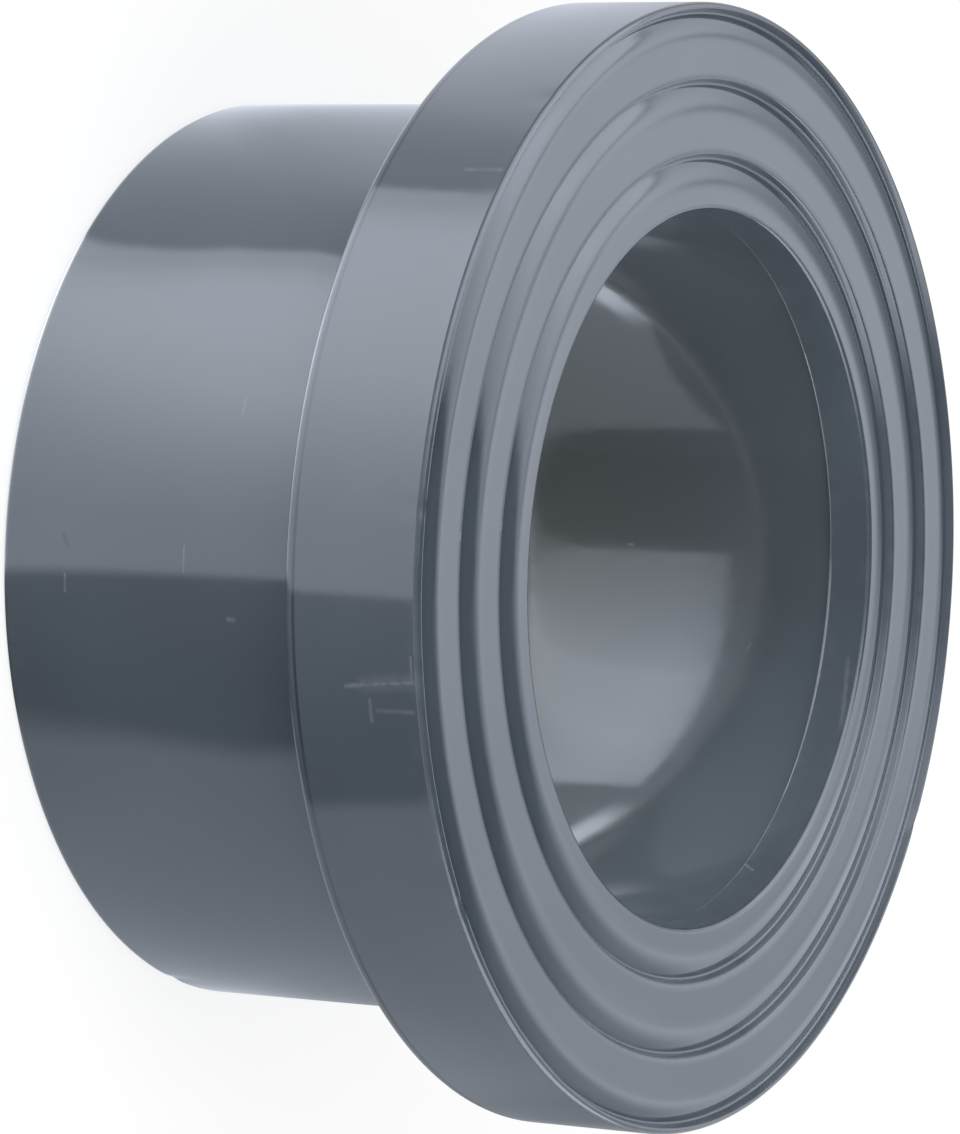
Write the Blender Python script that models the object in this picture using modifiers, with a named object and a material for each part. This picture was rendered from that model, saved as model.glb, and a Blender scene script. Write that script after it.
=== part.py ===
"""Plastic stub end for a lap joint, for pipe of 40 mm outside diameter.

The fitting is one moulded piece, turned about Z. It stands on the end of its
barrel, with the socket mouth at z = 0 and the grooved sealing face on top.
All sizes are in metres.
"""

from math import atan2, cos, floor, hypot, pi, radians, sin, tan

import bpy

MM = 0.001

# The pipe, and the socket that takes it: a slight taper down to the pipe's own size
pipe_radius = 20.0 * MM
socket_mouth_clearance = 0.15 * MM
socket_depth = 26.4 * MM
lead_in_depth = 1.2 * MM
lead_in_angle = radians(30)

# The throat beyond the socket is narrower by a step, which stops the pipe
stop_step = 0.6 * MM
throat_length = 2.6 * MM

# The barrel's wall round the socket, and the collar that stands out from it
barrel_wall = 5.0 * MM
collar_step = 5.5 * MM
collar_thickness = 8.0 * MM

# Radii and the length that follow from them
socket_mouth_radius = pipe_radius + socket_mouth_clearance
throat_radius = pipe_radius - stop_step
barrel_radius = pipe_radius + barrel_wall
collar_radius = barrel_radius + collar_step
overall_length = socket_depth + throat_length

# Rounded edges and corners
rim_back_round = 0.5 * MM
barrel_root_fillet = 1.5 * MM
barrel_end_round = 0.5 * MM
socket_root_fillet = 0.3 * MM
throat_edge_break = 0.15 * MM

# Grooves of the sealing face. Each one falls away from a flat land in a
# rounded shoulder, and comes back up in a short steep wall.
groove_pitch = 4.0 * MM
groove_width = 1.80 * MM
groove_depth = 0.55 * MM
groove_wall_run = 0.32 * MM
groove_start_tilt = radians(8)
rim_groove_width = 1.45 * MM
rim_lip_round = 0.35 * MM
inner_land_least = 1.0 * MM

# Fineness of the facets, and how the turned mesh is closed and shaded
turn_steps = 96
shoulder_segments = 5
edge_segments = 3
fillet_segments = 4
merge_distance = 0.001 * MM
sharp_edge_angle = radians(25)

# The plastic: its grey as linear red, green and blue, and its gloss
pvc_grey = (0.088, 0.110, 0.136)
pvc_roughness = 0.28


def arc(centre, radius, start, end, segments):
    """Points on a circle from the angle start to the angle end, both kept."""
    angles = [start + (end - start) * i / segments for i in range(segments + 1)]
    return [(centre[0] + radius * cos(a), centre[1] + radius * sin(a)) for a in angles]


def falling_arc(start, end, start_tilt, segments):
    """Round curve that leaves start at a slight downward tilt and steepens to end.

    The chord's slope is the mean of the tilts at its two ends, so the curve
    turns through twice the angle between the first tilt and the chord.
    """
    run, drop = end[0] - start[0], start[1] - end[1]
    turn = 2 * (atan2(drop, run) - start_tilt)
    radius = hypot(run, drop) / (2 * sin(turn / 2))
    centre = (start[0] - radius * sin(start_tilt), start[1] - radius * cos(start_tilt))
    first = pi / 2 - start_tilt
    return arc(centre, radius, first, first - turn, segments)


def groove(inner_radius, outer_radius):
    """Section of one groove, from the edge of its land out to the wall's top."""
    face = overall_length
    foot = (outer_radius - groove_wall_run, face - groove_depth)
    shoulder = falling_arc((inner_radius, face), foot, groove_start_tilt, shoulder_segments)
    return shoulder + [(outer_radius, face)]


def sealing_face():
    """Lands and grooves, from the throat's edge out to the lip at the rim.

    The outer groove ends at the lip, the others follow inwards at the pitch,
    as many as leave the land beside the throat at least its least width.
    """
    lip = collar_radius - rim_lip_round
    outer_start = lip - rim_groove_width
    room = outer_start - throat_radius - inner_land_least
    inner_grooves = floor(room / groove_pitch)
    points = []
    for i in range(inner_grooves, 0, -1):
        start = outer_start - i * groove_pitch
        points += groove(start, start + groove_width)
    return points + groove(outer_start, lip)


def rim_and_shoulder():
    """The lip's outer edge, the rim, and the flat back that the ring bears on."""
    back = overall_length - collar_thickness
    lip = arc((collar_radius - rim_lip_round, overall_length - rim_lip_round),
              rim_lip_round, pi / 2, 0, edge_segments)
    edge = arc((collar_radius - rim_back_round, back + rim_back_round),
               rim_back_round, 0, -pi / 2, edge_segments)
    fillet = arc((barrel_radius + barrel_root_fillet, back - barrel_root_fillet),
                 barrel_root_fillet, pi / 2, pi, fillet_segments)
    return lip[1:] + edge + fillet


def barrel_end():
    """The rounded outer edge of the barrel's end, and its flat end face."""
    edge = arc((barrel_radius - barrel_end_round, barrel_end_round),
               barrel_end_round, 0, -pi / 2, edge_segments)
    mouth = socket_mouth_radius + lead_in_depth * tan(lead_in_angle)
    return edge + [(mouth, 0)]


def way_through():
    """Lead-in, tapered socket, the stop that the pipe meets, and the throat."""
    corner = arc((pipe_radius - socket_root_fillet, socket_depth - socket_root_fillet),
                 socket_root_fillet, 0, pi / 2, edge_segments)
    lead_in_end = (socket_mouth_radius, lead_in_depth)
    throat = [
        (throat_radius, socket_depth),
        (throat_radius, overall_length - throat_edge_break),
        (throat_radius + throat_edge_break, overall_length),
    ]
    return [lead_in_end] + corner + throat


def profile():
    """Closed section at +X: down the outside, up the inside, out over the face."""
    return rim_and_shoulder() + barrel_end() + way_through() + sealing_face()


def plastic(name, colour, roughness):
    """Smooth moulded plastic of one colour."""
    material = bpy.data.materials.new(name)
    material.use_nodes = True
    shader = material.node_tree.nodes["Principled BSDF"]
    shader.inputs["Base Color"].default_value = (*colour, 1.0)
    shader.inputs["Roughness"].default_value = roughness
    shader.inputs["Metallic"].default_value = 0.0
    return material


def turned(name, points, collection):
    """Solid made by turning a closed section once round Z."""
    section = bpy.data.meshes.new(name + "_section")
    count = len(points)
    section.from_pydata(
        [(x, 0.0, z) for x, z in points],
        [(i, (i + 1) % count) for i in range(count)],
        [],
    )
    guide = bpy.data.objects.new(name + "_section", section)
    collection.objects.link(guide)
    screw = guide.modifiers.new("turn", "SCREW")
    screw.axis = "Z"
    screw.angle = 2 * pi
    screw.steps = turn_steps
    screw.render_steps = turn_steps
    screw.use_merge_vertices = True
    screw.merge_threshold = merge_distance

    bpy.context.view_layer.update()
    evaluated = guide.evaluated_get(bpy.context.evaluated_depsgraph_get())
    mesh = bpy.data.meshes.new_from_object(evaluated)
    bpy.data.objects.remove(guide)
    bpy.data.meshes.remove(section)

    mesh.name = name
    mesh.shade_smooth()
    mesh.set_sharp_from_angle(angle=sharp_edge_angle)
    solid = bpy.data.objects.new(name, mesh)
    collection.objects.link(solid)
    return solid


def main():
    for old in list(bpy.data.objects):
        bpy.data.objects.remove(old)
    collection = bpy.data.collections.new("lap_joint_stub_end")
    bpy.context.scene.collection.children.link(collection)
    stub_end = turned("stub_end", profile(), collection)
    stub_end.data.materials.append(plastic("grey_pvc", pvc_grey, pvc_roughness))


main()
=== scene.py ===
# %% [markdown]
# A lap joint stub end, moulded in grey rigid PVC.
# The fitting is the fixed half of a flanged joint between plastic pipes. The pipe is
# cemented into the barrel's socket, a loose ring behind the collar pulls it against a
# gasket, and the grooves in the collar's face bite into that gasket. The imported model
# gives the true sizes and stays where it is. This script makes the fine surface that
# goes over it, its finish, and the studio that it is photographed in.

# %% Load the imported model
from math import cos, hypot, pi, radians, sin, tan

import bpy
import numpy as np
from mathutils import Matrix, Vector


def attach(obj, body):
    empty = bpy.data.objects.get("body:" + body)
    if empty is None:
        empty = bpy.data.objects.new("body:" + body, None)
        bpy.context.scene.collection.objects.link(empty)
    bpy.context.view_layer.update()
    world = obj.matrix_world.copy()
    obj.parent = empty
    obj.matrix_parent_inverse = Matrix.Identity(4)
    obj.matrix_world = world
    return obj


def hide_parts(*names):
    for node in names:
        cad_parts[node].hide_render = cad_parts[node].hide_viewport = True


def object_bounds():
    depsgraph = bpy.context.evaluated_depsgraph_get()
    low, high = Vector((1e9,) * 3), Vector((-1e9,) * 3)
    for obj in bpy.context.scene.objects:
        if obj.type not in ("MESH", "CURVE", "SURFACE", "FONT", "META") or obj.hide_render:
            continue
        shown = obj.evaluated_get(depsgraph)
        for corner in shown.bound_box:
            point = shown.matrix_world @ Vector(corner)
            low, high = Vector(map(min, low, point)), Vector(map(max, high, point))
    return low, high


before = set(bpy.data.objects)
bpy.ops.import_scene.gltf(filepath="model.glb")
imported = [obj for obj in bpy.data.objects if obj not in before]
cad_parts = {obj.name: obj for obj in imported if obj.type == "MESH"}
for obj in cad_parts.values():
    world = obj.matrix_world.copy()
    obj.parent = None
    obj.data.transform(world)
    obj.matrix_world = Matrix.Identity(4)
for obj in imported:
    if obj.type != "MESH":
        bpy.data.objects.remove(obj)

cad_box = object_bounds()
MM = 0.001
print("packed nodes:", sorted(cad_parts))
print("packed box in mm:", [[round(v / MM, 2) for v in corner] for corner in cad_box])

# %% [markdown]
# The camera. A photograph of a round fitting says where its camera stood: the outlines of
# the collar, the throat and the barrel are ellipses, and their shapes and places give the
# angle and the distance. Four plain facts follow from them: how far the fitting's axis
# turns away from the line of sight, how far it leans in the picture, how far off the lens
# is, and which pixel the middle of the face falls on. The fitting stands on its barrel
# here, so the camera is rolled almost a quarter turn to show it lying on its side.

# %% Camera
photo_width, photo_height = 960, 1134
sensor_width = 36.0
lens_length = 190.4
axis_from_sight = radians(59.77)
axis_lean = radians(2.69)
camera_distance = 323.6 * MM
face_centre_pixel = (708.7, 569.4)
face_height = cad_box[1][2]

# In the camera's own axes, right, up and back, the fitting's axis points here
fitting_axis = Vector((
    sin(axis_from_sight) * cos(axis_lean),
    -sin(axis_from_sight) * sin(axis_lean),
    cos(axis_from_sight),
))
picture_down = Vector((0, -1, 0))
side_x = (picture_down - fitting_axis * picture_down.dot(fitting_axis)).normalized()
side_y = fitting_axis.cross(side_x)
turn = Matrix((side_x, side_y, fitting_axis))

# The middle of the face lies on the ray through its pixel, at the camera's distance
focal_pixels = lens_length / sensor_width * photo_height
offset_x = (face_centre_pixel[0] - photo_width / 2) / focal_pixels
offset_y = (photo_height / 2 - face_centre_pixel[1]) / focal_pixels
face_in_view = Vector((offset_x, offset_y, -1)) * camera_distance
camera_place = Vector((0, 0, face_height)) - turn @ face_in_view

camera_data = bpy.data.cameras.new("studio_camera")
camera_data.lens = lens_length
camera_data.sensor_width = sensor_width
camera_data.clip_start = 10 * MM
camera_data.clip_end = 10.0
camera = bpy.data.objects.new("studio_camera", camera_data)
camera.matrix_world = Matrix.Translation(camera_place) @ turn.to_4x4()
bpy.context.scene.collection.objects.link(camera)
bpy.context.scene.camera = camera
bpy.context.scene.view_settings.view_transform = "Standard"
print("camera in mm:", [round(v / MM, 1) for v in camera_place])

# %% [markdown]
# A surface as a grid. Every shape here is a function of two numbers, worked out as whole
# arrays: a grid of points, whose rows and columns become quads. Where a direction closes
# on itself, the last row is joined to the first, so there is no seam.

# %% Grid surfaces
def grid_faces(rows, columns, closed_rows, closed_columns):
    """Quads of a grid of points: each joins a point to its next row and next column.

    The index of the point in row i and column j is i * columns + j. In a closed
    direction the index after the last is the first again.
    """
    i = np.arange(rows if closed_rows else rows - 1)[:, None]
    j = np.arange(columns if closed_columns else columns - 1)[None, :]
    next_i = (i + 1) % rows
    next_j = (j + 1) % columns
    this_row, next_row = i * columns, next_i * columns
    corners = (this_row + j, this_row + next_j, next_row + next_j, next_row + j)
    return np.stack(np.broadcast_arrays(*corners), axis=-1).reshape(-1, 4)


def grid_object(name, points, closed_rows=False, closed_columns=False):
    """Mesh object from points of shape (rows, columns, 3), in metres."""
    rows, columns = points.shape[:2]
    faces = grid_faces(rows, columns, closed_rows, closed_columns)
    mesh = bpy.data.meshes.new(name)
    mesh.from_pydata(points.reshape(-1, 3).tolist(), [], faces.tolist())
    mesh.shade_smooth()
    piece = bpy.data.objects.new(name, mesh)
    bpy.context.scene.collection.objects.link(piece)
    return piece


def point_values(piece, name, values):
    """Store one number per vertex under a name that a material can read."""
    attribute = piece.data.attributes.new(name, "FLOAT", "POINT")
    attribute.data.foreach_set("value", np.ascontiguousarray(values, dtype=np.float32).ravel())


def round_place(radius, angle, height):
    """Point at a radius and height, at an angle from -Y round towards +X."""
    radius, angle, height = np.broadcast_arrays(radius, angle, height)
    return np.stack([radius * np.sin(angle), -radius * np.cos(angle), height], axis=-1)

# %% [markdown]
# Node helpers. A material is a small network of nodes, and a number in it can come from
# any place on the surface. Two kinds of node do most of the sums. Each helper makes one
# of them, joins it up and gives its output.

# %% Node helpers
def mapped(nodes, links, value, low, high, to_low, to_high):
    """Value carried from one range to another, and held at its ends."""
    node = nodes.new("ShaderNodeMapRange")
    links.new(value, node.inputs["Value"])
    limits = {"From Min": low, "From Max": high, "To Min": to_low, "To Max": to_high}
    for socket, number in limits.items():
        node.inputs[socket].default_value = number
    return node.outputs["Result"]


def calculated(nodes, links, operation, first, second):
    """Math node on two values, each a socket or a plain number."""
    node = nodes.new("ShaderNodeMath")
    node.operation = operation
    for socket, value in zip(node.inputs, (first, second)):
        if isinstance(value, (int, float)):
            socket.default_value = value
        else:
            links.new(value, socket)
    return node.outputs[0]

# %% [markdown]
# Floor and background. A catalogue picture has a white ground. The floor and the world
# give it to camera, glossy and transmission rays only, at a strength of 1, so the fitting
# gets no more light from it. Part of the floor's white is its own pale paint under the
# lamps, which is what lets it keep a soft shadow where the fitting stands.

# %% Floor and world
floor_radius = 600 * MM
floor_glow = 0.725
floor_paint = 0.5
sky_level = 0.56


def sees_background(nodes, links):
    """Value that is 1 for camera, glossy and transmission rays, and 0 for the rest."""
    ray = nodes.new("ShaderNodeLightPath").outputs
    seen = calculated(nodes, links, "MAXIMUM", ray["Is Camera Ray"], ray["Is Glossy Ray"])
    return calculated(nodes, links, "MAXIMUM", seen, ray["Is Transmission Ray"])


def floor_material():
    """Pale matt paint, with its glow added for the rays that show the background."""
    material = bpy.data.materials.new("studio_floor_white")
    material.use_nodes = True
    nodes, links = material.node_tree.nodes, material.node_tree.links
    nodes.clear()
    paint = nodes.new("ShaderNodeBsdfDiffuse")
    paint.inputs["Color"].default_value = (floor_paint, floor_paint, floor_paint, 1)
    glow = nodes.new("ShaderNodeEmission")
    seen = sees_background(nodes, links)
    strength = calculated(nodes, links, "MULTIPLY", seen, floor_glow)
    links.new(strength, glow.inputs["Strength"])
    both = nodes.new("ShaderNodeAddShader")
    links.new(paint.outputs[0], both.inputs[0])
    links.new(glow.outputs[0], both.inputs[1])
    output = nodes.new("ShaderNodeOutputMaterial")
    links.new(both.outputs[0], output.inputs["Surface"])
    return material


floor_ring_shares = [0.0005, 0.25, 0.5, 0.75, 1.0]
floor_columns = 96
floor_rings = np.array(floor_ring_shares)[:, None] * floor_radius
floor_turns = np.linspace(0, 2 * pi, floor_columns, endpoint=False)[None, :]
floor_points = round_place(floor_rings, floor_turns, 0.0)
floor = grid_object("studio_floor", floor_points, closed_columns=True)
floor.data.materials.append(floor_material())

world = bpy.data.worlds.new("studio_world")
world.use_nodes = True
bpy.context.scene.world = world
world_nodes, world_links = world.node_tree.nodes, world.node_tree.links
world_nodes.clear()
background = world_nodes.new("ShaderNodeBackground")
world_seen = sees_background(world_nodes, world_links)
level = mapped(world_nodes, world_links, world_seen, 0, 1, sky_level, 1.0)
world_links.new(level, background.inputs["Strength"])
world_output = world_nodes.new("ShaderNodeOutputWorld")
world_links.new(background.outputs[0], world_output.inputs["Surface"])
print("floor radius in mm:", floor_radius / MM, "sky level:", sky_level)

# %% [markdown]
# Matt light. The lamps are plain soft boxes, large and low on either side, so the grey
# renders about as it is written. A third, very small one stands in the open socket and
# sends a narrow beam up to the far wall, where light from behind the fitting reaches it.
# Reflections don't see the lamps. What a glossy thing mirrors is made in the next step.

# %% Soft lamps
lamp_distance = 750 * MM
lamp_rise = radians(27)
lamp_size = 500 * MM


def lamp_place(degrees):
    """Place of a large lamp, at an angle in degrees from -Y round towards +X."""
    reach, height = lamp_distance * cos(lamp_rise), lamp_distance * sin(lamp_rise)
    return Vector(round_place(reach, radians(degrees), height))


table_centre = Vector((0, 0, 0))
socket_lamp_place = Vector((-9, -7, 1.5)) * MM
socket_lamp_aim = Vector((17, 9, 22)) * MM
socket_lamp_size = 10 * MM

# Each soft box by its name, its place, the point it faces, its size, its power in watts
# and how widely its light spreads, in degrees
soft_boxes = [
    ("key_soft_box", lamp_place(-45), table_centre, lamp_size, 1.5, 180),
    ("fill_soft_box", lamp_place(55), table_centre, lamp_size, 1.6, 180),
    ("socket_soft_box", socket_lamp_place, socket_lamp_aim, socket_lamp_size, 0.0012, 60),
]


def soft_box(name, place, aim, size, power, spread):
    """Square area lamp turned to face a point."""
    lamp_data = bpy.data.lights.new(name, "AREA")
    lamp_data.size = size
    lamp_data.energy = power
    lamp_data.spread = radians(spread)
    lamp = bpy.data.objects.new(name, lamp_data)
    lamp.location = place
    lamp.rotation_euler = (place - aim).to_track_quat("Z", "Y").to_euler()
    lamp.visible_camera = False
    lamp.visible_glossy = False
    bpy.context.scene.collection.objects.link(lamp)
    print(name, "power in watts:", power)


for box in soft_boxes:
    soft_box(*box)

# %% [markdown]
# Light for a glossy thing. The colour of shiny plastic comes from the lamps, but most of
# what the eye reads is what the plastic mirrors. A photographer sets white and black cards
# round the fitting and looks at their reflections. Three cards do this here: a ring that
# lies round the barrel's foot, mirrored in the barrel and the rim, a disc under the open
# socket, and a hood over the face. Their brightness changes from place to place, as that
# of large windows and soft boxes does. Reflections alone see these three.

# %% Reflection cards
card_tint = (0.935, 1.0, 1.125)
ring_inner, ring_outer = 22 * MM, 110 * MM
card_height = 0.15 * MM

# Brightness round the ring, by the angle in degrees from -Y towards +X. There is a key
# window, a weaker fill window on the other side, and what lies between them. The barrel
# mirrors the near part of the ring and the rim its far part, with a plan for each. The
# key window is dimmer beside its start: key_rise_plan is the share of its light that is
# left, by the degrees past the start.
key_plan = [
    (-68, 5.3), (-38, 5.3), (-30, 5.05), (-24, 4.4), (-18, 3.65), (-12, 3.0), (-6, 2.5),
    (6, 2.2),
]
key_rise_plan = [(0, 0.62), (3, 0.66), (6, 0.83), (10, 0.95), (16, 1.0)]
near_fill_plan = [
    (20, 1.05), (40, 1.05), (66, 0.85), (90, 0.68), (102, 0.5), (114, 0.4), (135, 0.6),
    (180, 1.2),
]
far_fill_plan = [
    (20, 0.95), (66, 0.95), (90, 0.85), (102, 0.68), (114, 0.42), (126, 0.3), (180, 0.5),
]
near_between_plan = [
    (-180, 1.2), (-150, 0.9), (-138, 0.8), (-114, 0.95), (-96, 1.05), (-84, 1.22), (-76, 1.45),
    (-50, 1.45), (0, 0.5), (8, 0.2), (18, 0.08), (180, 0.05),
]
far_between_plan = [
    (-180, 0.4), (-138, 0.68), (-114, 1.42), (-96, 1.92), (-88, 2.05), (-82, 1.95), (-76, 1.55),
    (-70, 1.38), (-44, 1.3), (0, 0.7), (8, 0.5), (18, 0.25), (26, 0.1), (180, 0.05),
]
near_radius, far_radius = 30, 56

# Where those windows begin and end at each radius in mm, as a far window would
key_start_plan = [(25, -42), (30, -48.5), (38, -56.5), (46, -60.8), (60, -61.5), (84, -66)]
key_end_plan = [(25, 2.8), (46, 4.0), (84, 5.8)]
fill_start_plan = [(25, 22), (30, 27), (38, 32.5), (46, 37), (70, 39)]
ring_soft_plan = [(25, 2.6), (45, 2.2), (60, 1.2), (84, 1.2)]


def card_material(name, tint, upper_side_only):
    """Light given off as strongly as the card's own plan says at each place.

    The faces of a flat card here point down, so its upper side is the back of them.
    """
    material = bpy.data.materials.new(name)
    material.use_nodes = True
    nodes, links = material.node_tree.nodes, material.node_tree.links
    nodes.clear()
    plan = nodes.new("ShaderNodeAttribute")
    plan.attribute_name = "brightness"
    light = nodes.new("ShaderNodeEmission")
    light.inputs["Color"].default_value = (*tint, 1)
    strength = plan.outputs["Fac"]
    if upper_side_only:
        side = nodes.new("ShaderNodeNewGeometry").outputs
        strength = calculated(nodes, links, "MULTIPLY", strength, side["Backfacing"])
    links.new(strength, light.inputs["Strength"])
    output = nodes.new("ShaderNodeOutputMaterial")
    links.new(light.outputs[0], output.inputs["Surface"])
    return material


def studio_card(name, points, brightness, tint=card_tint, matt_light=False):
    """Round card with a brightness for each of its points.

    Reflections see it and nothing else does. One with matt_light set is the other way
    about: it lights matt surfaces from its upper side and shows in no reflection.
    """
    card = grid_object(name, points, closed_columns=True)
    point_values(card, "brightness", np.broadcast_to(brightness, points.shape[:2]))
    card.data.materials.append(card_material(name, tint, upper_side_only=matt_light))
    card.data.materials[0].cycles.emission_sampling = "FRONT_BACK" if matt_light else "NONE"
    card.visible_camera = False
    card.visible_glossy = not matt_light
    card.visible_diffuse = matt_light
    card.visible_transmission = False
    card.visible_volume_scatter = False
    card.visible_shadow = False
    least, most = round(float(np.min(brightness)), 2), round(float(np.max(brightness)), 2)
    print(name, "brightness from", least, "to", most)
    return card


def planned(places, plan):
    """Value read off a plan of (place, value) stops, straight between the stops.

    The places are degrees in most plans, and millimetres in those that go by the radius.
    """
    stops = np.array(plan)
    return np.interp(places, stops[:, 0], stops[:, 1])


def soft_step(distance, width):
    """0 outside and 1 inside an edge: a smooth ramp where the distance passes zero."""
    t = np.clip(distance / width + 0.5, 0, 1)
    return t * t * (3 - 2 * t)


def near_to_far(radii, degrees, near_plan, far_plan):
    """Brightness that goes over from the near plan to the far one with the radius."""
    share = np.clip((radii / MM - near_radius) / (far_radius - near_radius), 0, 1)
    return planned(degrees, near_plan) * (1 - share) + planned(degrees, far_plan) * share


ring_rows, ring_columns = 90, 720
ring_turns = np.linspace(-180, 180, ring_columns + 1)[None, :-1]
ring_radii = ring_inner * np.geomspace(1, ring_outer / ring_inner, ring_rows)[:, None]
ring_points = round_place(ring_radii, np.radians(ring_turns), card_height)
ring_soft = planned(ring_radii / MM, ring_soft_plan)
past_start = ring_turns - planned(ring_radii / MM, key_start_plan)
in_key = soft_step(past_start, ring_soft)
in_key = in_key * soft_step(planned(ring_radii / MM, key_end_plan) - ring_turns, ring_soft)
in_fill = soft_step(ring_turns - planned(ring_radii / MM, fill_start_plan), 3 * ring_soft)
between_light = near_to_far(ring_radii, ring_turns, near_between_plan, far_between_plan)
key_light = planned(ring_turns, key_plan) * planned(past_start, key_rise_plan)
fill_light = near_to_far(ring_radii, ring_turns, near_fill_plan, far_fill_plan)
ring_light = between_light * (1 - in_key) * (1 - in_fill)
ring_light = ring_light + key_light * in_key
ring_light = ring_light + fill_light * in_fill
studio_card("ring_card", ring_points, ring_light)

# %% [markdown]
# Light in the socket. The hole is open at both ends, so its wall mirrors whatever light
# comes up through the mouth. A disc under the mouth stands for it. It has the key window
# on one side, a weaker patch on the other, and little between them. The disc is drawn in
# millimetres of x and y, because the patterns seen in the wall are cut by its mouth.

# %% Socket card
socket_card_radius = 20.0 * MM
fan_centre = (0.2, 9.2)
window_centre = (-1.0, 1.0)
window_radius = 16.8
window_side, window_side_slope = 0.9, 0.07
window_top, window_top_slope = 12.5, 0.25
patch_side, patch_side_slope = 17.2, 0.1
patch_corner, patch_corner_slope = 10.3, 0.98
socket_edge = 0.35

# Brightness by the angle in degrees round the fan's centre, from -Y towards -X. The
# windows are further off than the card, so their bars and panes spread like a fan.
window_plan = [
    (0, 2.25), (10, 2.7), (20, 3.2), (30, 3.85), (35.5, 4.1), (37, 4.65), (66, 4.6), (76, 4.2),
    (90, 3.75),
]
beside_plan = [
    (-180, 0.4), (-80, 0.4), (-60, 0.22), (-45, 0.15), (-30, 0.18), (-12, 0.35), (0, 0.6),
    (20, 0.8), (30, 0.8), (90, 0.8), (120, 0.9), (180, 0.9),
]
patch_plan = [(-180, 1.2), (-60, 1.15), (-48, 1.05), (180, 1.0)]

# The share of the window's light that is left, by the distance in mm from its centre
window_edge_plan = [(11, 1.0), (14.7, 0.9), (16.8, 0.8)]

socket_rows, socket_columns = 130, 360
socket_radii = np.linspace(0.01 * MM, socket_card_radius, socket_rows)[:, None]
socket_turns = np.linspace(0, 2 * pi, socket_columns + 1)[None, :-1]
socket_points = round_place(socket_radii, socket_turns, card_height)
socket_x, socket_y = socket_points[..., 0] / MM, socket_points[..., 1] / MM
fan_turns = np.degrees(np.arctan2(fan_centre[0] - socket_x, fan_centre[1] - socket_y))
from_centre = np.hypot(socket_x - window_centre[0], socket_y - window_centre[1])
in_window = soft_step(window_radius - from_centre, socket_edge)
beside_window = window_side - window_side_slope * socket_y - socket_x
in_window = in_window * soft_step(beside_window, socket_edge)
above_window = window_top + window_top_slope * socket_x - socket_y
in_window = in_window * soft_step(above_window, socket_edge)
beside_patch = patch_side - patch_side_slope * socket_y - socket_x
below_patch = patch_corner_slope * socket_x + socket_y - patch_corner
in_patch = soft_step(beside_patch, socket_edge) * soft_step(below_patch, socket_edge)
socket_light = planned(fan_turns, beside_plan)
socket_light = socket_light + (planned(fan_turns, patch_plan) - socket_light) * in_patch
window_light = planned(fan_turns, window_plan) * planned(from_centre, window_edge_plan)
socket_light = socket_light + (window_light - socket_light) * in_window

# Close to the wall on the far side is a bright strip, which the stop's edge mirrors
strip_radius, strip_radius_soft = 17.8, 1.0
strip_side, strip_side_soft = 13.0, 5.0
strip_light = 5.0
in_strip = soft_step(np.hypot(socket_x, socket_y) - strip_radius, strip_radius_soft)
in_strip = in_strip * soft_step(socket_y - strip_side, strip_side_soft)
socket_light = socket_light + (strip_light - socket_light) * in_strip
studio_card("socket_card", socket_points, socket_light)

# Light from below reaches the socket's matt grey too: cool from the window's side and
# warm from the other. Each glow has a tint, and its brightness by x in mm.
socket_glows = [
    ("socket_cool_card", (0.96, 1.0, 1.06), [(-20, 4.0), (0, 0.6), (20, 0.0)]),
    ("socket_warm_card", (1.2, 1.0, 0.66), [(-20, 0.0), (0, 0.75), (20, 2.0)]),
]
coarser = 10
glow_height = 0.5 * card_height
glow_points = round_place(socket_radii[::coarser], socket_turns[:, ::coarser], glow_height)
for name, tint, plan in socket_glows:
    glow = planned(glow_points[..., 0] / MM, plan)
    studio_card(name, glow_points, glow, tint=tint, matt_light=True)

# %% [markdown]
# The hood. The grooved face lies flat, so it mirrors the room above the table, and each
# of its roundings mirrors a wide sweep of it. The hood is a dome three metres off. At
# that distance a place on it is a direction, the same from all over the fitting, so its
# light is planned by two angles: the direction round the table and the height above it.

# %% Hood card
hood_radius = 3000 * MM
hood_low, hood_high = 2, 89.95

# Three windows, each with its brightness by the angle in degrees from +Y towards +X,
# and the share of it that is left at each height above the table, in degrees. The low
# window is made of upright strips, which fade towards the table in ways of their own.
high_round_plan = [
    (-180, 0.7), (-168, 1.0), (-156, 2.5), (-144, 3.8), (-132, 4.9), (-120, 5.0), (-108, 5.5),
    (-75, 5.4), (-58, 5.3), (-50, 5.1), (-40, 4.7), (-30, 4.2), (-22, 3.7), (-14, 3.0),
    (-5, 2.2),
]
high_rise_plan = [
    (0, 0.4), (8, 0.5), (14, 0.62), (20, 0.7), (29, 0.8), (35, 0.84), (41, 0.88), (47, 1.02),
    (53, 0.95), (61, 0.7), (70, 0.5),
]
low_round_plan = [
    (-60, 3.2), (-40, 2.8), (-34, 2.48), (-22, 2.5), (-14, 2.26), (-2, 2.27), (2, 1.94),
    (6, 1.64), (10, 1.66), (14, 1.78), (18, 2.18), (22, 1.82), (26, 1.32), (30, 1.02),
    (46, 1.05), (64, 0.8), (75, 0.3), (110, 0.2), (180, 0.6),
]
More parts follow.
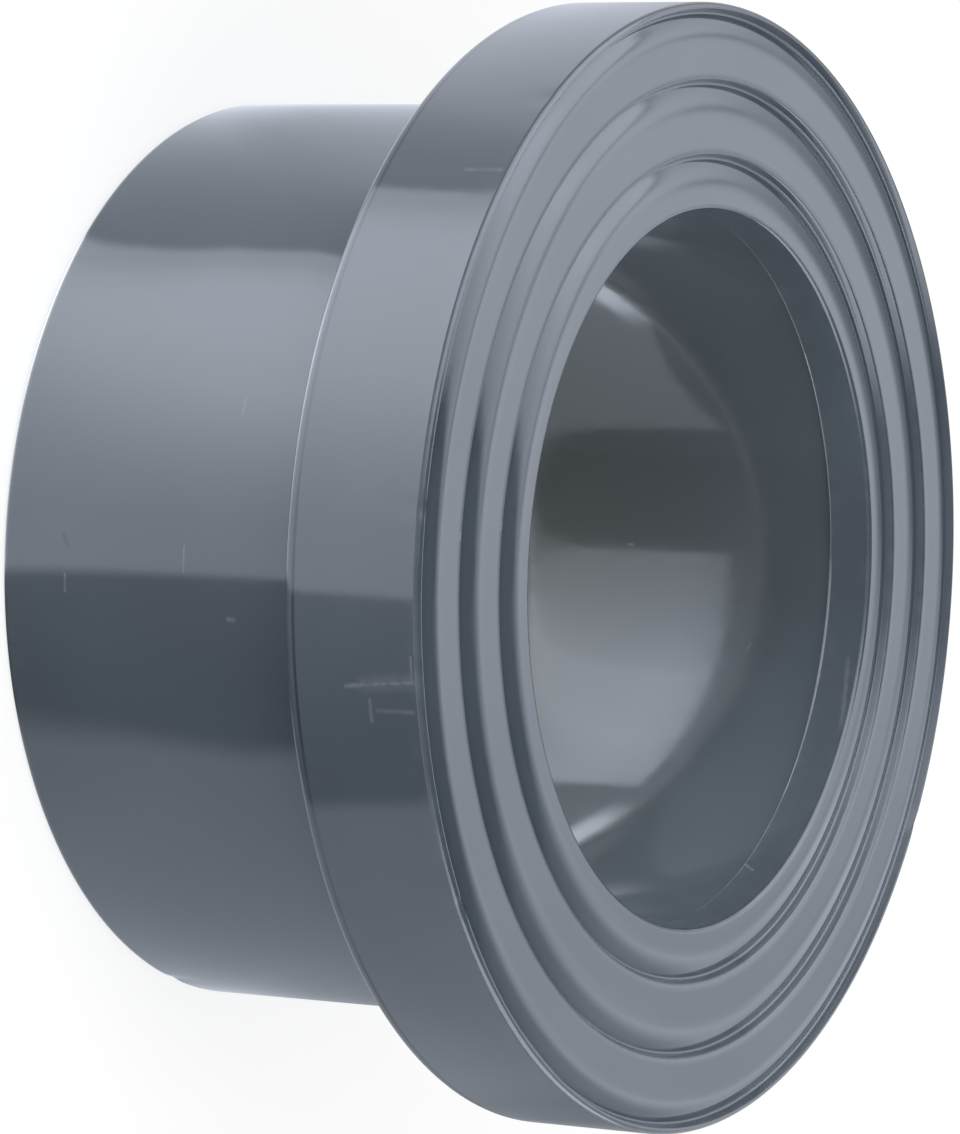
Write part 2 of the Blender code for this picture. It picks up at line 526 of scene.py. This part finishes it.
low_strips = [
    (-26, [(5, 0.3), (11, 0.55), (14, 0.67), (20, 0.77), (29, 1.0), (35, 1.08), (41, 1.2)]),
    (-18, [
        (5, 0.2), (11, 0.4), (17, 0.53), (20, 0.62), (23, 0.78), (29, 1.0), (35, 1.25),
        (41, 1.33),
    ]),
    (-8, [
        (2, 0.11), (11, 0.17), (17, 0.23), (20, 0.33), (23, 0.52), (26, 0.83), (29, 1.0),
        (35, 1.17), (39, 1.38), (43, 1.05), (50, 1.18),
    ]),
    (0, [
        (2, 0.11), (11, 0.16), (17, 0.27), (20, 0.4), (23, 0.58), (26, 0.89), (29, 1.0),
        (35, 1.2), (39, 1.32), (44, 0.85), (50, 0.62),
    ]),
    (9, [
        (2, 0.75), (8, 0.9), (15, 1.1), (18, 1.05), (23, 0.82), (29, 1.0), (35, 1.33),
        (39, 1.46), (44, 1.0), (50, 0.32), (53, 0.05),
    ]),
    (18, [
        (5, 0.45), (11, 0.52), (17, 0.73), (23, 0.9), (29, 1.0), (35, 1.02), (41, 0.76),
        (47, 0.42), (51, 0.0),
    ]),
    (30, [(8, 1.05), (14, 1.0), (20, 0.84), (31, 1.03), (38, 0.88), (50, 0.43), (53, 0.05)]),
]
side_round_plan = [
    (45, 3.2), (54, 3.6), (62, 3.9), (84, 4.2), (96, 4.2), (110, 4.0), (122, 2.6), (132, 1.0),
]

# The high window ends at one direction and lies above a sloping sill, and its top edge
# slopes too. The side window lies between two directions and low down. A plan of an edge
# gives its height above the table at each direction, both in degrees.
high_end = -8
side_start, side_end = 44, 136
sill_plan = [
    (-60, 12), (-46, 17), (-42, 22), (-38, 27.5), (-33, 30), (-26, 36), (-22, 42), (-18, 44.5),
    (-5, 46),
]
top_plan = [
    (-180, 70), (-100, 72), (-60, 74), (-48, 72), (-36, 70), (-24, 67.5), (-18, 64.5),
    (-12, 61), (0, 53), (180, 53),
]
side_top_plan = [(44, 18), (54, 36), (60, 42), (66, 43), (80, 40), (95, 38), (136, 38)]
low_top_plan = [(-10, 59), (-6, 55.5), (-2, 52.5), (2, 50.5), (8, 60)]
low_top_soft = 8

# The low window has a soft dip in its light, placed by its direction and its height
dip_place, dip_reach, dip_depth = (-13.5, 26.5), (3.0, 4.5), 0.36

# Just under the sill, right of its start, is a soft dark line
sill_shade, sill_drop, sill_reach = 0.3, 1.5, 2
sill_start, sill_start_soft = -40, 10
hood_soft = 3


def strip_shares(degrees, heights, strips):
    """Share of the light by height, read off upright strips and blended between them."""
    places = [place for place, _ in strips]
    shares = 0
    for own_weights, (_, plan) in zip(np.eye(len(strips)), strips):
        shares = shares + np.interp(degrees, places, own_weights) * planned(heights, plan)
    return shares


hood_rows, hood_columns = 130, 720
hood_turns = np.linspace(-180, 180, hood_columns + 1)[None, :-1]
hood_heights = np.linspace(hood_low, hood_high, hood_rows)[:, None]
high_light = planned(hood_turns, high_round_plan) * planned(hood_heights, high_rise_plan)
low_share = strip_shares(hood_turns, hood_heights, low_strips)
low_light = planned(hood_turns, low_round_plan) * low_share
below_low_top = planned(hood_turns, low_top_plan) - hood_heights
low_light = low_light * soft_step(below_low_top, low_top_soft)
across_dip = (hood_turns - dip_place[0]) / dip_reach[0]
up_dip = (hood_heights - dip_place[1]) / dip_reach[1]
low_light = low_light * (1 - dip_depth * np.exp(-across_dip ** 2 - up_dip ** 2))
above_sill = hood_heights - planned(hood_turns, sill_plan)
in_high = soft_step(above_sill, hood_soft) * soft_step(high_end - hood_turns, hood_soft)
below_top = planned(hood_turns, top_plan) - hood_heights
hood_light = low_light * (1 - in_high)
hood_light = hood_light + high_light * in_high * soft_step(below_top, 2 * hood_soft)
on_sill = np.exp(-((above_sill + sill_drop) / sill_reach) ** 2) * (hood_turns < 0)
on_sill = on_sill * soft_step(hood_turns - sill_start, sill_start_soft)
hood_light = hood_light * (1 - sill_shade * on_sill)
in_side = soft_step(hood_turns - side_start, hood_soft)
in_side = in_side * soft_step(side_end - hood_turns, 2 * hood_soft)
in_side = in_side * soft_step(planned(hood_turns, side_top_plan) - hood_heights, hood_soft)
hood_light = hood_light + (planned(hood_turns, side_round_plan) - hood_light) * in_side
rise = np.radians(hood_heights)
hood_points = hood_radius * np.stack(np.broadcast_arrays(
    np.cos(rise) * np.sin(np.radians(hood_turns)),
    np.cos(rise) * np.cos(np.radians(hood_turns)),
    np.sin(rise),
), axis=-1)
studio_card("hood_card", hood_points, hood_light)

# %% [markdown]
# The section. A moulded fitting is a solid of revolution, so its whole shape is one
# closed line: down the outside, up through the socket, out over the face. A Screw
# modifier could turn it, but here the angle and the place along the line are the two
# parameters of the surface. Corners are given by their sharp positions and a radius,
# and one function rounds them all, because no moulded edge is truly sharp.

# %% Sizes of the fitting
pipe_radius = 20.0 * MM
socket_mouth_clearance = 0.15 * MM
socket_depth = 26.4 * MM
lead_in_depth = 1.2 * MM
lead_in_angle = radians(30)
stop_step = 0.6 * MM
throat_length = 2.6 * MM
barrel_wall = 5.0 * MM
collar_step = 5.5 * MM
collar_thickness = 8.0 * MM
throat_radius = pipe_radius - stop_step
barrel_radius = pipe_radius + barrel_wall
collar_radius = barrel_radius + collar_step
overall_length = socket_depth + throat_length

groove_pitch = 4.0 * MM
groove_width = 1.68 * MM
groove_depth = 0.55 * MM
groove_wall_run = 0.20 * MM
rim_groove_width = 1.45 * MM
rim_lip_round = 0.35 * MM
print("collar across in mm:", 2 * collar_radius / MM, "length in mm:", overall_length / MM)

# %% Helpers for the section
def falling_curve(start, end, power, segments=14):
    """Curve that leaves start level and falls ever faster to end, which it leaves out.

    At a share t of the way across it has fallen by the whole drop times t ** power.
    """
    t = np.linspace(0, 1, segments + 1)[:-1]
    across = start[0] + (end[0] - start[0]) * t
    height = start[1] + (end[1] - start[1]) * t ** power
    return np.stack([across, height], axis=-1)


def rounded_corner(before, corner, after, radius, segments):
    """Arc that touches both sides of a corner, at radius * tan(turn / 2) from it."""
    first = (before - corner) / np.linalg.norm(before - corner)
    second = (after - corner) / np.linalg.norm(after - corner)
    bend = pi - np.arccos(np.clip(first @ second, -1, 1))
    reach = radius * tan(bend / 2)
    middle = (first + second) / np.linalg.norm(first + second)
    centre = corner + middle * hypot(reach, radius)
    across = (corner + first * reach) - centre
    other = (corner + second * reach) - centre
    t = np.linspace(0, 1, segments + 1)[:, None]
    return centre + (across * np.sin((1 - t) * bend) + other * np.sin(t * bend)) / sin(bend)


# A rounding of this radius or more gets more segments than a smaller one
large_round = 0.3 * MM
large_segments, small_segments = 8, 4


def section_points(corners):
    """Closed line through (radius, height, rounding) corners, each rounded as it says."""
    sharp = np.array([corner[:2] for corner in corners])
    stretches = []
    for i, (_, _, rounding) in enumerate(corners):
        if rounding == 0:
            stretches.append(sharp[i:i + 1])
            continue
        segments = large_segments if rounding >= large_round else small_segments
        after = sharp[(i + 1) % len(sharp)]
        stretches.append(rounded_corner(sharp[i - 1], sharp[i], after, rounding, segments))
    return np.concatenate(stretches)


def with_holding_rows(points, hold, longest):
    """Line with rows added on its long straight runs.

    One row close to each end keeps the shading of a flat part flat, and the rest
    keep the quads short enough to take a dent.
    """
    ends = np.roll(points, -1, axis=0)
    lengths = np.linalg.norm(ends - points, axis=1)
    pieces = []
    for start, end, length in zip(points, ends, lengths):
        pieces.append(start[None])
        if length > 4 * hold:
            inner = np.linspace(hold, length - hold, max(2, int(np.ceil(length / longest)) + 1))
            pieces.append(start + (end - start) * (inner / length)[:, None])
    return np.concatenate(pieces)

# %% Section of the stub end
# Roundings, from the collar's back down the outside and up through the socket
rim_back_round = 0.5 * MM
barrel_root_fillet = 1.5 * MM
barrel_end_round = 0.5 * MM
lead_in_round = 0.4 * MM
socket_root_fillet = 0.3 * MM
break_radius = 0.12 * MM
throat_edge_round = 0.25 * MM
stop_edge_round = 0.18 * MM

# A groove's land starts to fall a little before its edge, and the wall's top is eased
land_roll, rim_land_roll = 0.75 * MM, 0.55 * MM
lip_ease, lip_top_round = 0.02 * MM, 0.015 * MM
fall_power = 2.4
foot_round = 0.12 * MM
wall_top_round = 0.15 * MM
top_roll, top_drop = 0.5 * MM, 0.04 * MM
top_round_end = 0.45


def groove_corners(inner_radius, outer_radius, roll):
    """One groove: the land's edge falls away in a long curve to the foot of the wall."""
    foot = (outer_radius - groove_wall_run, overall_length - groove_depth)
    curve = falling_curve((inner_radius - roll, overall_length), foot, fall_power)
    return [(x, z, 0) for x, z in curve] + [(*foot, foot_round)]


def wall_top_corners(radius):
    """Rounded top of a groove's wall, and the last slight rise to the flat of the land."""
    t = np.linspace(top_round_end, 1, 4)
    rise = np.stack([radius + top_roll * t, overall_length - top_drop * (1 - t) ** 2], axis=-1)
    return [(radius, overall_length - top_drop, wall_top_round)] + [(x, z, 0) for x, z in rise]


def stub_end_corners():
    """Sharp corners of the section with their roundings, from the lip round to the lip."""
    back = overall_length - collar_thickness
    mouth = pipe_radius + socket_mouth_clearance
    lip = collar_radius - rim_lip_round
    outer_start = lip - rim_groove_width
    starts = [outer_start - 2 * groove_pitch, outer_start - groove_pitch]
    outside = [
        (collar_radius, overall_length, rim_lip_round - lip_ease),
        (collar_radius, back, rim_back_round),
        (barrel_radius, back, barrel_root_fillet),
        (barrel_radius, 0, barrel_end_round),
    ]
    inside = [
        (mouth + lead_in_depth * tan(lead_in_angle), 0, break_radius),
        (mouth, lead_in_depth, lead_in_round),
        (pipe_radius, socket_depth, socket_root_fillet),
        (throat_radius, socket_depth, stop_edge_round),
        (throat_radius, overall_length, throat_edge_round),
    ]
    face = []
    for start in starts:
        end = start + groove_width
        face += groove_corners(start, end, land_roll) + wall_top_corners(end)
    face += groove_corners(outer_start, lip, rim_land_roll)
    face += [(lip, overall_length, lip_top_round)]
    return outside + inside + face


# Rows are held close to the ends of flat runs, and no quad is longer than this there
holding_distance = 0.05 * MM
longest_quad = 1.3 * MM
section = with_holding_rows(section_points(stub_end_corners()), holding_distance, longest_quad)
print("section points:", len(section), "radius from", round(section[:, 0].min() / MM, 2),
      "to", round(section[:, 0].max() / MM, 2), "mm")

# %% [markdown]
# The surface. The section is carried round the axis. The point at angle a has the
# section's radius and height, and its normal leans as the section does there. The
# fitting has been handled, so a few small dents are pressed in along that normal.
# Each is a smooth hollow, deepest in its middle, and none stands out of the moulding.

# %% Turned surface
turn_count = 420

# Each dent by its name, its radius, its angle in degrees from -Y towards +X, its height,
# its width and its depth, with lengths in mm
dents = [
    ("lip nick", 30.5, -5.9, 28.9, 0.7, 0.07),
    ("upper lip nick", 30.5, -52.6, 28.8, 0.9, 0.08),
    ("lower lip nick", 30.4, 34.1, 29.0, 0.8, 0.09),
    ("barrel knock", 25.0, 7.3, 14.4, 0.5, 0.03),
    ("far lip nick", 30.5, 151, 28.9, 1.0, 0.07),
    ("back edge knock", 30.4, 112, 21.1, 1.1, 0.08),
    ("barrel end knock", 25.0, 72.3, 0.3, 1.2, 0.08),
]


def section_normals(points):
    """Outward normals of a closed section: the direction along it, turned by 90 degrees."""
    along = np.roll(points, -1, axis=0) - np.roll(points, 1, axis=0)
    across = np.stack([-along[:, 1], along[:, 0]], axis=-1)
    return across / np.linalg.norm(across, axis=1, keepdims=True)


def dent_depth(points):
    """Sum of smooth hollows: each is its depth times exp(-(distance / reach) squared).

    The reach is half the dent's width.
    """
    depth = np.zeros(points.shape[:2])
    for _, radius, degrees, height, width, deepest in dents:
        place = round_place(radius * MM, radians(degrees), height * MM)
        distance = np.linalg.norm(points - place, axis=-1)
        reach = 0.5 * width * MM
        depth += deepest * MM * np.exp(-(distance / reach) ** 2)
    return depth


turns = np.linspace(0, 2 * pi, turn_count, endpoint=False)[None, :]
normals = section_normals(section)
surface = round_place(section[:, :1], turns, section[:, 1:])
outward = round_place(normals[:, :1], turns, normals[:, 1:])
surface = surface - outward * dent_depth(surface)[..., None]
stub = grid_object("moulded_stub_end", surface, closed_rows=True, closed_columns=True)
print("triangles:", 2 * len(stub.data.polygons), "deepest dent in mm:",
      round(float(dent_depth(surface).max()) / MM, 3))

# %% [markdown]
# Edge wear and painted sheen. Handling polishes and chafes the corners that stand proud,
# and moulding leaves a little flash on them. The material paints those corners paler,
# partly as that wear and partly as a painted highlight, so it has to know where they are.
# A section bends outwards there, so the bend at each of its points, spread over a few
# tenths of a millimetre on either side, is stored as one number per vertex.

# %% Edge map
full_bend = 0.6


def proud_edges(points, spread):
    """How sharply the section bends outwards near each of its points, from 0 to 1.

    The bend at a point is the sine of the turn from one side to the next, counted
    where the corner stands proud. It is shared with its neighbours by a bell curve
    of their distance, measured across the section. A sum of full_bend counts as 1.
    """
    before = points - np.roll(points, 1, axis=0)
    after = np.roll(points, -1, axis=0) - points
    bend = before[:, 0] * after[:, 1] - before[:, 1] * after[:, 0]
    bend = bend / (np.linalg.norm(before, axis=1) * np.linalg.norm(after, axis=1))
    proud = np.clip(bend * np.sign(np.sum(bend)), 0, None)
    apart = np.linalg.norm(points[:, None] - points[None], axis=-1)
    shared = np.exp(-(apart / spread) ** 2) @ proud
    return np.clip(shared / full_bend, 0, 1)


edge_spread = 0.18 * MM
edge_map = proud_edges(section, edge_spread)
point_values(stub, "proud_edge", np.repeat(edge_map[:, None], turn_count, axis=1))
print("edge map: share of rows above a half:", round(float((edge_map > 0.5).mean()), 2))

# %% [markdown]
# Marks. The fitting has been handled and shows it: ticks and a nick on the barrel,
# scratches on the rim, small pits on the face, smears in the throat. Two pale strokes on
# the edges of the face's lands are burrs with a painted glint. Each mark is a short
# stroke on the surface. The material works out how near a point lies to the stroke, so a
# mark stays fine at any distance. A grain breaks the strokes up, as the plastic tears
# unevenly under a scratch.

# %% Marks from handling, and burrs with a painted glint
# Each mark by its name, the radius where it lies, its angle in degrees from -Y towards
# +X, its height, length and half width, with lengths in mm, then its tilt in degrees
# away from upright, and its strength: pale above 0 and dark below
marks = [
    ("barrel nick", 25.0, -18.4, 14.1, 0.9, 0.10, 90, 0.35),
    ("barrel smudge", 25.0, -1.2, 4.1, 0.7, 0.20, 60, -0.5),
    ("barrel tick", 25.0, 0.4, 11.5, 1.3, 0.09, 90, 0.6),
    ("low barrel tick", 25.0, 3.9, 4.1, 0.9, 0.10, 90, 0.6),
    ("barrel pit", 25.0, 7.3, 14.4, 0.3, 0.20, 0, 0.5),
    ("barrel end scuff", 25.0, 72.3, 1.8, 1.2, 0.16, 70, 0.4),
    ("rim scratch", 30.5, 11.0, 26.6, 3.9, 0.19, -5, 0.5),
    ("rim rub", 30.5, 10.8, 27.2, 3.0, 0.6, -5, 0.24),
    ("rim scratch below", 30.5, 13.55, 27.4, 2.0, 0.17, 0, 0.32),
    ("rim tick", 30.5, 13.6, 25.97, 1.1, 0.15, 90, 0.34),
    ("lip tick", 30.5, 9.3, 28.5, 1.1, 0.10, 90, 0.5),
    ("upper rim streak", 30.5, -41.6, 27.4, 2.0, 0.2, 0, 0.34),
    ("face pit", 22.1, -90.5, 28.5, 0.1, 0.16, 0, -0.6),
    ("left face pit", 25.7, -42.7, 28.68, 0.1, 0.16, 0, -0.6),
    ("left land pit", 24.3, -39.9, 29.0, 0.1, 0.14, 0, -0.5),
    # These two pale strokes on the lands' edges are burrs with a painted glint, a highlight
    ("glinting burr", 26.6, -3.6, 29.0, 0.3, 0.10, 90, 0.8),
    ("inner burr", 22.6, -5.6, 29.0, 0.3, 0.10, 90, 0.8),
    ("throat smear", 19.4, 158.6, 28.4, 4.4, 0.22, -84, 0.3),
    ("throat tick", 19.4, 120.8, 26.9, 0.9, 0.12, -36, 0.5),
    ("bore fleck", 20.1, -177.7, 13.1, 0.3, 0.14, 0, 0.4),
    ("upper bore fleck", 20.0, 166.2, 21.4, 0.4, 0.12, 60, 0.4),
]

print("marks:", len(marks))

# A mark has its full strength up to this share of its half width, and fades from there
mark_core = 0.05


def mark_group():
    """Node group: 1 on a short stroke, 0 away from it.

    The nearest point of the stroke is found by measuring how far along it the
    surface point lies, held to its half length. The distance to that point is
    compared with the half width.
    """
    group = bpy.data.node_groups.new("surface_stroke", "ShaderNodeTree")
    for name, kind in (("Place", "NodeSocketVector"), ("Middle", "NodeSocketVector"),
                       ("Along", "NodeSocketVector"), ("Half length", "NodeSocketFloat"),
                       ("Half width", "NodeSocketFloat")):
        group.interface.new_socket(name, in_out="INPUT", socket_type=kind)
    group.interface.new_socket("Mark", in_out="OUTPUT", socket_type="NodeSocketFloat")
    nodes, links = group.nodes, group.links
    given = nodes.new("NodeGroupInput").outputs
    result = nodes.new("NodeGroupOutput").inputs

    def vector_node(operation, first, second, second_socket=1):
        node = nodes.new("ShaderNodeVectorMath")
        node.operation = operation
        links.new(first, node.inputs[0])
        links.new(second, node.inputs[second_socket])
        return node.outputs

    away = vector_node("SUBTRACT", given["Place"], given["Middle"])["Vector"]
    reached = vector_node("DOT_PRODUCT", away, given["Along"])["Value"]
    capped = calculated(nodes, links, "MINIMUM", reached, given["Half length"])
    least = calculated(nodes, links, "MULTIPLY", given["Half length"], -1.0)
    held = calculated(nodes, links, "MAXIMUM", capped, least)
    nearest = vector_node("SCALE", given["Along"], held, second_socket=3)["Vector"]
    distance = vector_node("DISTANCE", away, nearest)["Value"]
    share = calculated(nodes, links, "DIVIDE", distance, given["Half width"])
    links.new(mapped(nodes, links, share, mark_core, 1.0, 1.0, 0.0), result["Mark"])
    return group


def stroke_mask(nodes, links, place, group, mark):
    """One mark of the list, laid on the surface at its angle, height and tilt."""
    _, radius, degrees, height, length, width, tilt, _ = mark
    angle = radians(degrees)
    round_way = np.array([cos(angle), sin(angle), 0.0])
    up_way = np.array([0.0, 0.0, 1.0])
    node = nodes.new("ShaderNodeGroup")
    node.node_tree = group
    links.new(place, node.inputs["Place"])
    node.inputs["Middle"].default_value = round_place(radius * MM, angle, height * MM)
    along = up_way * cos(radians(tilt)) + round_way * sin(radians(tilt))
    node.inputs["Along"].default_value = along
    node.inputs["Half length"].default_value = 0.5 * length * MM
    node.inputs["Half width"].default_value = width * MM
    return node.outputs["Mark"]


parting_height = 21.66 * MM
parting_half_width = 0.13 * MM
parting_core = 0.3 * parting_half_width
parting_from = barrel_radius + 0.9 * collar_step


def parting_line(nodes, links, place):
    """1 on the fine line that the two halves of the mould leave round the rim, else 0."""
    split = nodes.new("ShaderNodeSeparateXYZ")
    links.new(place, split.inputs[0])
    flat = nodes.new("ShaderNodeCombineXYZ")
    links.new(split.outputs["X"], flat.inputs["X"])
    links.new(split.outputs["Y"], flat.inputs["Y"])
    reach = nodes.new("ShaderNodeVectorMath")
    reach.operation = "LENGTH"
    links.new(flat.outputs["Vector"], reach.inputs[0])
    on_rim = calculated(nodes, links, "GREATER_THAN", reach.outputs["Value"], parting_from)
    above = calculated(nodes, links, "SUBTRACT", split.outputs["Z"], parting_height)
    away = calculated(nodes, links, "ABSOLUTE", above, 0.0)
    near = mapped(nodes, links, away, parting_core, parting_half_width, 1.0, 0.0)
    return calculated(nodes, links, "MULTIPLY", near, on_rim)

# %% [markdown]
# The plastic. Rigid PVC is dyed through and comes out of a polished mould with a gloss.
# It isn't a perfect mirror: the skin has a slight ripple, its grey shifts a little from
# place to place, and the gloss is duller where it was rubbed. All of it comes from noise
# on object coordinates, so it stays on the plastic from every side.

# %% Helpers for the plastic
def noise(nodes, links, place, scale, detail, roughness=0.5):
    """Noise texture on object coordinates: scale is in cells for each metre."""
    texture = nodes.new("ShaderNodeTexNoise")
    texture.inputs["Scale"].default_value = scale
    texture.inputs["Detail"].default_value = detail
    texture.inputs["Roughness"].default_value = roughness
    links.new(place, texture.inputs["Vector"])
    return texture.outputs["Fac"]


def bumped(nodes, links, height, depth, under=None):
    """Bump whose height of 1 stands for a depth in metres, on top of another bump."""
    node = nodes.new("ShaderNodeBump")
    node.inputs["Distance"].default_value = depth
    links.new(height, node.inputs["Height"])
    if under is not None:
        links.new(under, node.inputs["Normal"])
    return node.outputs["Normal"]


def blended(nodes, links, factor, first, second):
    """Colour mixed from two colours, each a socket or three plain numbers."""
    node = nodes.new("ShaderNodeMix")
    node.data_type = "RGBA"
    links.new(factor, node.inputs["Factor"])
    for name, value in (("A", first), ("B", second)):
        socket = [s for s in node.inputs if s.name == name and s.type == "RGBA"][0]
        if isinstance(value, tuple):
            socket.default_value = (*value, 1)
        else:
            links.new(value, socket)
    return [s for s in node.outputs if s.type == "RGBA"][0]

# %% Grey PVC
pvc_grey = (0.088, 0.110, 0.136)
pvc_roughness = 0.07
pvc_refraction = 1.53

# How far the grey strays, how much paler the proud edges are painted, for wear and as a
# painted sheen, and the colours of the marks.
# Noise has most of its values near a half, so each use below stretches a part about there.
tone_least, tone_most = 0.93, 1.08
edge_wear_and_sheen_paler, edge_wear_and_sheen_share = 1.9, 0.15
pale_mark_and_glint = (0.30, 0.33, 0.37)
dark_mark = (0.03, 0.035, 0.04)
parting_strength = 0.8

# Roughness added on the proud edges that wear dulls, and where the plastic is scratched
chafed_dull, scratched_dull = 0.05, 0.3

# Cells for each metre of the noises, and how high the two that shape the skin stand
cloud_scale, grain_scale, speck_scale, ripple_scale = 70, 900, 2600, 110
ripple_height, grain_height = 0.012 * MM, 0.0016 * MM


def grey_pvc():
    """Dyed plastic with a mould-polished skin, paler at its proud edges from wear and a painted
    sheen.
    """
    material = bpy.data.materials.new("grey_pvc_moulded")
    material.use_nodes = True
    nodes, links = material.node_tree.nodes, material.node_tree.links
    shader = nodes["Principled BSDF"]
    shader.inputs["IOR"].default_value = pvc_refraction
    place = nodes.new("ShaderNodeTexCoord").outputs["Object"]

    cloud = noise(nodes, links, place, cloud_scale, detail=1)
    grain = noise(nodes, links, place, grain_scale, detail=2, roughness=0.6)
    speck = noise(nodes, links, place, speck_scale, detail=0)
    darker = tuple(tone_least * c for c in pvc_grey)
    lighter = tuple(tone_most * c for c in pvc_grey)
    tone = blended(nodes, links, mapped(nodes, links, cloud, 0.35, 0.65, 0, 1), darker, lighter)

    # The proud edges are painted paler, partly as wear and partly as a painted highlight along
    # them
    edge = nodes.new("ShaderNodeAttribute")
    edge.attribute_name = "proud_edge"
    edge_wear_and_sheen = calculated(nodes, links, "MULTIPLY", edge.outputs["Fac"],
                        mapped(nodes, links, grain, 0.42, 0.62, 0.0, 1.0))
    wear_and_sheen_grey = tuple(edge_wear_and_sheen_paler * c for c in pvc_grey)
    edge_wear_and_sheen_tone = calculated(nodes, links, "MULTIPLY", edge_wear_and_sheen, edge_wear_and_sheen_share)
    tone = blended(nodes, links, edge_wear_and_sheen_tone, tone, wear_and_sheen_grey)

    group = mark_group()
    broken = mapped(nodes, links, speck, 0.38, 0.55, 0.62, 1.0)
    pale_marks_and_glints, dark_marks = 0.0, 0.0
    for mark in marks:
        mask = stroke_mask(nodes, links, place, group, mark)
        mask = calculated(nodes, links, "MULTIPLY", mask, broken)
        mask = calculated(nodes, links, "MULTIPLY", mask, abs(mark[-1]))
        if mark[-1] > 0:
            pale_marks_and_glints = calculated(nodes, links, "MAXIMUM", mask, pale_marks_and_glints)
        else:
            dark_marks = calculated(nodes, links, "MAXIMUM", mask, dark_marks)
    # Pale marks are scratches, ticks and rubs, and on the burrs a painted glint
    tone = blended(nodes, links, pale_marks_and_glints, tone, pale_mark_and_glint)
    parting = calculated(nodes, links, "MULTIPLY", parting_line(nodes, links, place),
                         mapped(nodes, links, cloud, 0.4, 0.55, 0.5, 1.0))
    parting = calculated(nodes, links, "MULTIPLY", parting, parting_strength)
    dark_marks = calculated(nodes, links, "MAXIMUM", dark_marks, parting)
    tone = blended(nodes, links, dark_marks, tone, dark_mark)
    links.new(tone, shader.inputs["Base Color"])

    gloss = mapped(nodes, links, grain, 0.3, 0.7, pvc_roughness - 0.02, pvc_roughness + 0.03)
    for mask, added in ((edge_wear_and_sheen, chafed_dull), (pale_marks_and_glints, scratched_dull)):
        duller = calculated(nodes, links, "MULTIPLY", mask, added)
        gloss = calculated(nodes, links, "ADD", gloss, duller)
    links.new(gloss, shader.inputs["Roughness"])

    ripple = noise(nodes, links, place, ripple_scale, detail=1)
    skin = bumped(nodes, links, ripple, ripple_height)
    skin = bumped(nodes, links, grain, grain_height, skin)
    links.new(skin, shader.inputs["Normal"])
    return material


stub.data.materials.append(grey_pvc())
print("nodes in the plastic:", len(stub.data.materials[0].node_tree.nodes))
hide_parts("stub_end")
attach(stub, "root")
